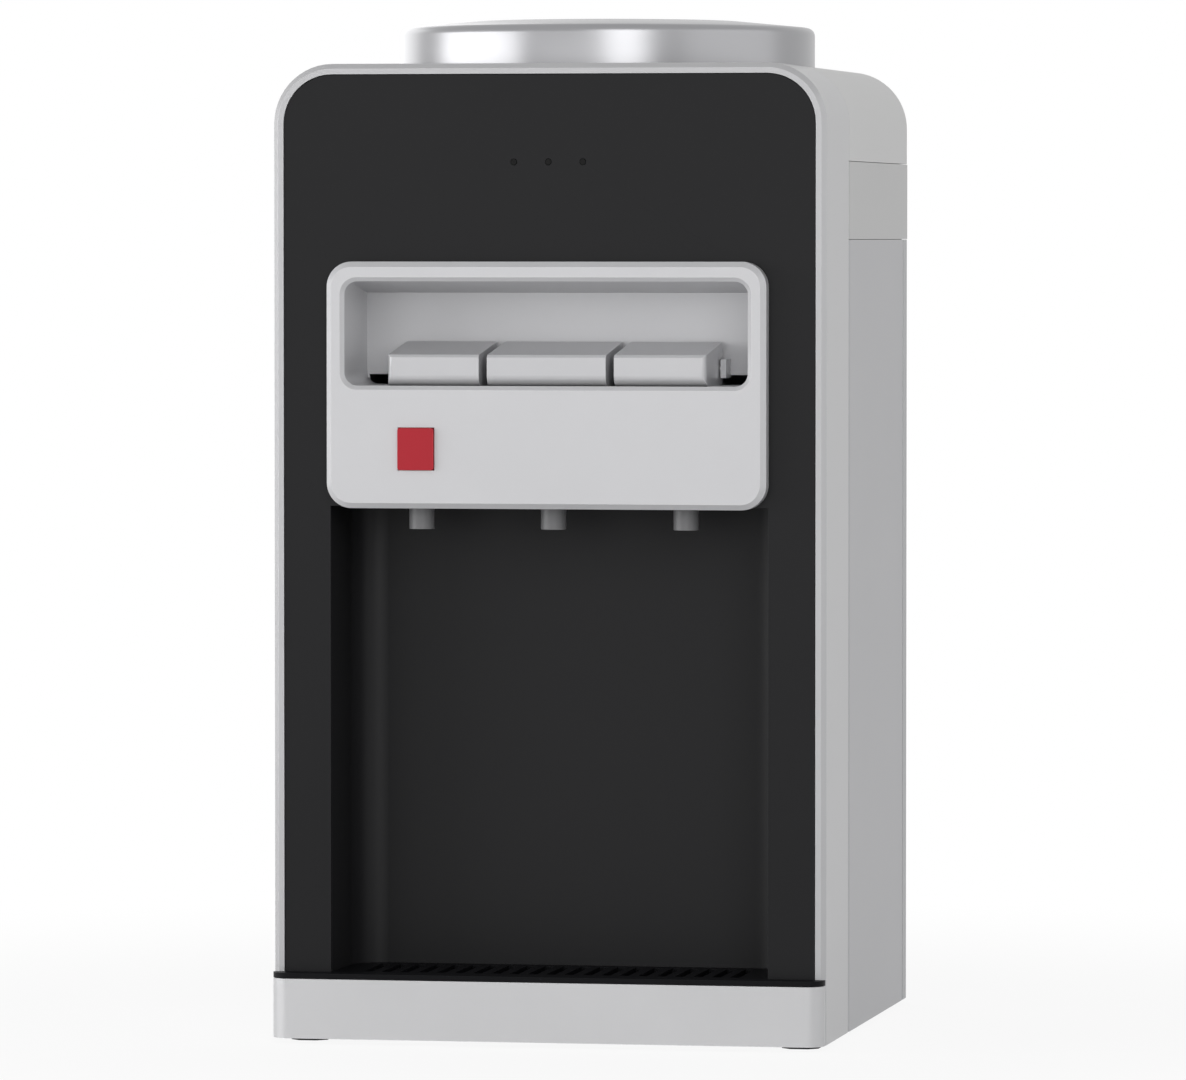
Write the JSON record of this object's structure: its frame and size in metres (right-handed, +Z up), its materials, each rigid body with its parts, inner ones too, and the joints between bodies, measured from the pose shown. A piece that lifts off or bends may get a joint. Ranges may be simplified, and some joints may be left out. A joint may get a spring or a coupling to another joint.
{
  "type": "tabletop water dispenser",
  "caption": "Tabletop bottled-water dispenser with push keys over hot, normal and cold taps, a child lock, an open cup alcove and a removable drip tray.",
  "frame": {"origin": "on the surface it stands on, below the middle of the whole object's width and depth", "axes": "+X to the viewer's right, +Y from the front to the rear, +Z up"},
  "size_m": [0.3, 0.3164, 0.5511],
  "materials": {
    "silver_shell": "satin silver, fine grain",
    "silver_cover": "satin silver",
    "side_sheet": "satin silver-grey coating",
    "rear_sheet": "satin grey coating",
    "zinc_sheet": "zinc coated sheet",
    "black_panel": "half-gloss black",
    "black_alcove": "satin black",
    "black_grille": "satin black",
    "pale_plastic": "half-gloss pale silver",
    "key_plastic": "half-gloss pale silver",
    "red_plastic": "half-gloss red",
    "spout_plastic": "mid grey",
    "tray_front": "satin silver",
    "steel": "stainless steel",
    "spring_steel": "bright drawn wire",
    "collar_metallic": "bright metallic silver",
    "white_plastic": "plain white",
    "black_plastic": "plain black",
    "dark_lens": "unlit lamp",
    "board": "green circuit board",
    "clear_rubber": "silicone hose",
    "black_rubber": "black rubber",
    "foam": "expanded foam",
    "aluminium": "plain extruded",
    "ceramic": "white ceramic"
  },
  "bodies": {
    "cabinet": {"base_pan": "zinc_sheet", "feet": "black_rubber", "front_housing": "silver_shell", "front_panel": "black_panel", "alcove_liner": "black_alcove", "tap_housing": "pale_plastic", "top_cover": "silver_cover", "rear_panel": "rear_sheet", "key_pivot_rod": "steel", "tap_springs": "spring_steel", "child_lock_spring": "spring_steel", "indicator_lenses": "dark_lens", "indicator_board": "board", "bottle_collar": "collar_metallic", "cold_tank": "steel", "cold_tank_insulation": "foam", "tank_gasket": "clear_rubber", "tank_lid": "white_plastic", "tank_baffle": "white_plastic", "tank_shelf": "zinc_sheet", "cold_block": "aluminium", "peltier_module": "ceramic", "heat_sink": "aluminium", "fan_frame": "black_plastic", "hot_tank": "steel", "hot_tank_insulation": "foam", "hot_tank_stand": "zinc_sheet", "heater": "steel", "thermostats": "black_plastic", "hose_normal": "clear_rubber", "hose_cold": "clear_rubber", "hose_hot": "clear_rubber", "hose_feed": "clear_rubber", "hose_drain": "clear_rubber", "drain_outlet": "white_plastic", "cord_gland": "black_plastic", "switch_bodies": "black_plastic", "control_board": "board", "side_trim_left": "silver_cover", "side_trim_right": "silver_cover", "side_panel_left": "side_sheet", "side_panel_right": "side_sheet", "tap_body_hot": "spout_plastic", "tap_body_normal": "spout_plastic", "tap_body_cold": "spout_plastic"},
    "drip_tray": {"drip_tray": "tray_front"},
    "drip_grille": {"drip_grille": "black_grille"},
    "key_hot": {"key_hot": "key_plastic"},
    "key_normal": {"key_normal": "key_plastic"},
    "key_cold": {"key_cold": "key_plastic"},
    "plunger_hot": {"tap_plunger_hot": "white_plastic"},
    "plunger_normal": {"tap_plunger_normal": "white_plastic"},
    "plunger_cold": {"tap_plunger_cold": "white_plastic"},
    "child_lock": {"child_lock_button": "red_plastic"},
    "bottle_seat": {"bottle_seat": "white_plastic", "bottle_probe": "white_plastic"},
    "fan_rotor": {"fan_rotor": "black_plastic"},
    "rocker_hot": {"rocker_hot": "red_plastic"},
    "rocker_cold": {"rocker_cold": "black_plastic"},
    "drain_cap": {"drain_cap": "white_plastic"}
  },
  "joints": [
    {"name": "drip_tray_slide", "type": "slide", "parent": "cabinet", "child": "drip_tray", "axis": [0, -1, 0], "range_m": [0, 0.08]},
    {"name": "drip_grille_lift", "type": "slide", "parent": "drip_tray", "child": "drip_grille", "axis": [0, 0, 1], "range_m": [0, 0.06]},
    {"name": "key_hot_pivot", "type": "hinge", "parent": "cabinet", "child": "key_hot", "pos_m": [-0.06155, -0.10585, 0.362], "axis": [1, 0, 0], "range_deg": [0, 8], "stiffness_Nm_per_rad": 0.3, "springref_deg": -11.46},
    {"name": "key_normal_pivot", "type": "hinge", "parent": "cabinet", "child": "key_normal", "pos_m": [0, -0.10585, 0.362], "axis": [1, 0, 0], "range_deg": [0, 8], "stiffness_Nm_per_rad": 0.3, "springref_deg": -11.46},
    {"name": "key_cold_pivot", "type": "hinge", "parent": "cabinet", "child": "key_cold", "pos_m": [0.06155, -0.10585, 0.362], "axis": [1, 0, 0], "range_deg": [0, 8], "stiffness_Nm_per_rad": 0.3, "springref_deg": -11.46},
    {"name": "plunger_hot_travel", "type": "slide", "parent": "cabinet", "child": "plunger_hot", "axis": [0, 0, -1], "range_m": [0, 0.0036], "deforming": ["tap_springs"]},
    {"name": "plunger_normal_travel", "type": "slide", "parent": "cabinet", "child": "plunger_normal", "axis": [0, 0, -1], "range_m": [0, 0.0036], "deforming": ["tap_springs"]},
    {"name": "plunger_cold_travel", "type": "slide", "parent": "cabinet", "child": "plunger_cold", "axis": [0, 0, -1], "range_m": [0, 0.0036], "deforming": ["tap_springs"]},
    {"name": "child_lock_press", "type": "slide", "parent": "cabinet", "child": "child_lock", "axis": [0, 1, 0], "range_m": [0, 0.0035], "stiffness_N_per_m": 400, "springref_m": -0.002, "deforming": ["child_lock_spring"]},
    {"name": "bottle_seat_lift", "type": "slide", "parent": "cabinet", "child": "bottle_seat", "axis": [0, 0, 1], "range_m": [0, 0.15]},
    {"name": "fan_spin", "type": "hinge", "parent": "cabinet", "child": "fan_rotor", "pos_m": [0, 0.13215, 0.42], "axis": [0, 1, 0], "continuous": true},
    {"name": "rocker_hot_rock", "type": "hinge", "parent": "cabinet", "child": "rocker_hot", "pos_m": [0.089, 0.14215, 0.22], "axis": [1, 0, 0], "range_deg": [-16, 0]},
    {"name": "rocker_cold_rock", "type": "hinge", "parent": "cabinet", "child": "rocker_cold", "pos_m": [0.113, 0.14215, 0.22], "axis": [1, 0, 0], "range_deg": [-16, 0]},
    {"name": "drain_cap_turn", "type": "hinge", "parent": "cabinet", "child": "drain_cap", "pos_m": [-0.072, 0.15215, 0.04], "axis": [0, 1, 0], "range_deg": [0, 720]}
  ],
  "couplings": [
    {"joint": "plunger_hot_travel", "follows": "key_hot_pivot", "m_per_rad": 0.025},
    {"joint": "plunger_normal_travel", "follows": "key_normal_pivot", "m_per_rad": 0.025},
    {"joint": "plunger_cold_travel", "follows": "key_cold_pivot", "m_per_rad": 0.025}
  ]
}
